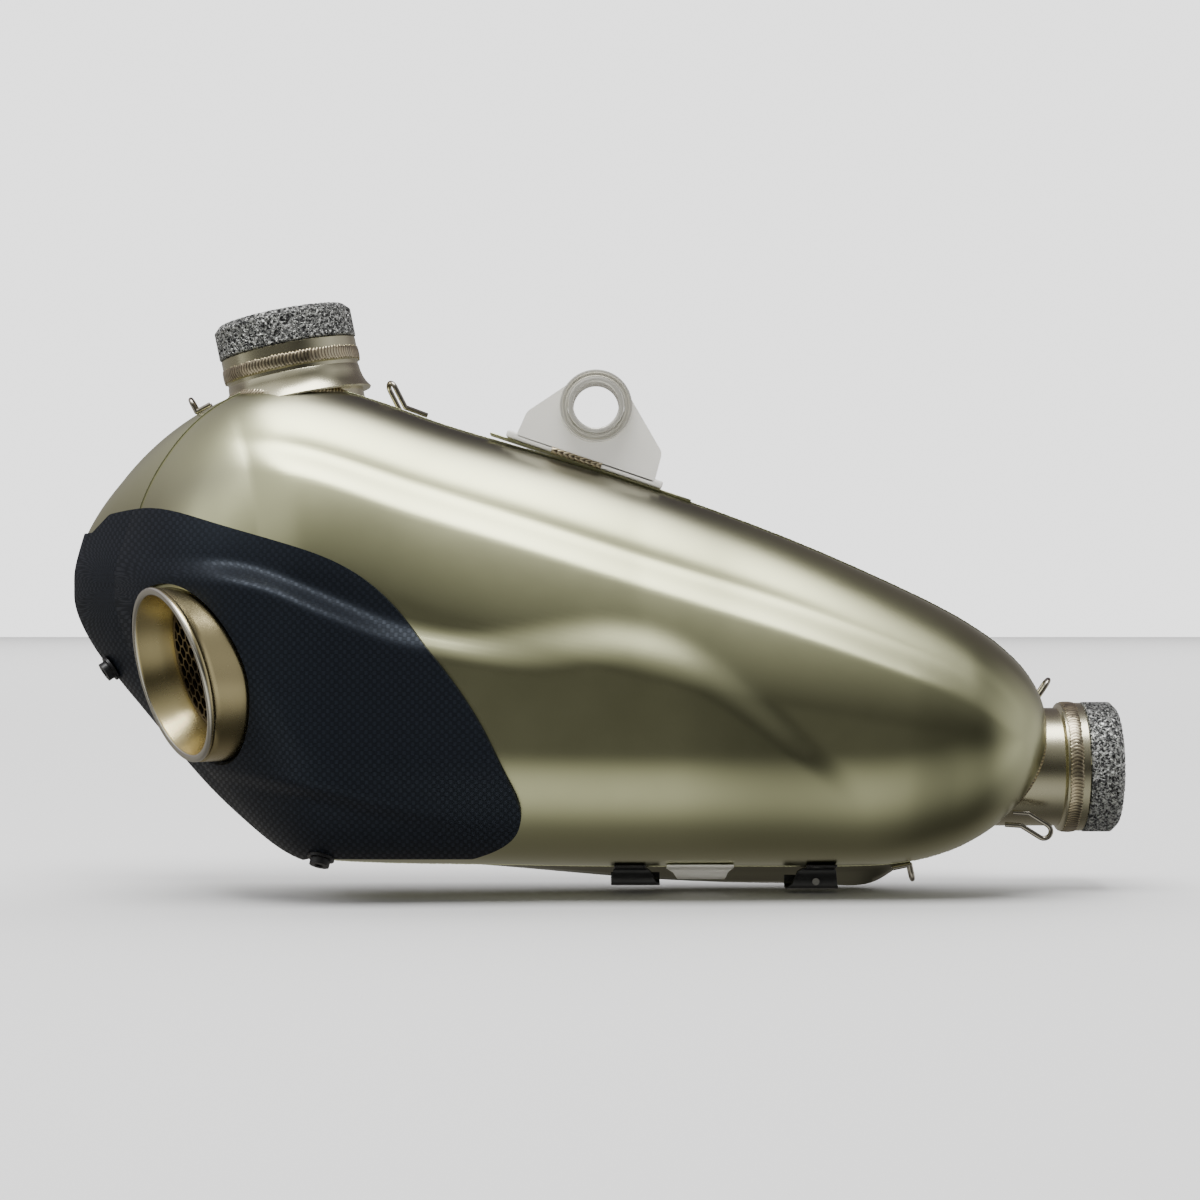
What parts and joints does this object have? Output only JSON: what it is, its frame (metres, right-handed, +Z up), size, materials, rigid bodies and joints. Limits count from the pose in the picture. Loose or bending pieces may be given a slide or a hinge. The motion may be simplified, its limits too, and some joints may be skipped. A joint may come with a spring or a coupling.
{
  "type": "exhaust muffler",
  "caption": "Teardrop motorcycle muffler with two slip-on inlets, a carbon end cap, a slash-cut grilled outlet and a hanger eye.",
  "frame": {"origin": "centre of the hanger eye's bore, halfway along its sleeve", "axes": "+X towards the front inlet, -Y out of the visible outer face along the hanger bore, +Z up"},
  "size_m": [0.5345, 0.1395, 0.2968],
  "materials": {
    "titanium": "satin bead-blasted titanium with a warm olive cast",
    "tip_titanium": "satin titanium, heat-tinted pale gold",
    "bracket_titanium": "satin machined titanium",
    "carbon": "satin-lacquered twill carbon laminate",
    "grille_metal": "dull heat-browned sheet",
    "seal_mesh": "pressed knitted wire mesh filled with graphite",
    "inner_steel": "plain stainless sheet",
    "packing": "fibre packing",
    "wire_steel": "satin stainless wire",
    "black_steel": "satin black coating",
    "rivet_steel": "bright rivet head"
  },
  "bodies": {
    "muffler": {"front_shell": "titanium", "rear_shell": "titanium", "end_cap": "carbon", "tail_tip": "tip_titanium", "outlet_grille": "grille_metal", "outlet_tube": "inner_steel", "outlet_core": "inner_steel", "top_inlet_neck": "titanium", "top_inlet_spigot": "titanium", "top_core_tube": "inner_steel", "top_core_wool": "packing", "front_inlet_neck": "titanium", "front_inlet_spigot": "titanium", "front_core_tube": "inner_steel", "front_core_wool": "packing", "front_baffle": "inner_steel", "middle_baffle": "inner_steel", "rear_baffle": "inner_steel", "hanger_bracket": "bracket_titanium", "hanger_boss": "bracket_titanium", "hanger_sleeve": "bracket_titanium", "hanger_pad": "titanium", "top_inlet_front_hook": "wire_steel", "top_inlet_rear_hook": "wire_steel", "front_inlet_upper_hook": "wire_steel", "front_inlet_lower_hook": "wire_steel", "belly_hook": "wire_steel", "rear_cover_clip": "black_steel", "front_cover_clip": "black_steel", "saddle_clip": "titanium", "clip_rivet": "rivet_steel", "cap_screws": "black_steel", "cap_washers": "black_steel", "cap_weld_nuts": "inner_steel"},
    "top_ring": {"top_inlet_seal": "seal_mesh"},
    "front_ring": {"front_inlet_seal": "seal_mesh"}
  },
  "joints": [
    {"name": "top_ring_slide", "type": "slide", "parent": "muffler", "child": "top_ring", "axis": [-0.2011, 0, 0.9796], "range_m": [0, 0.03]},
    {"name": "front_ring_slide", "type": "slide", "parent": "muffler", "child": "front_ring", "axis": [1, 0, 0], "range_m": [0, 0.03]}
  ]
}
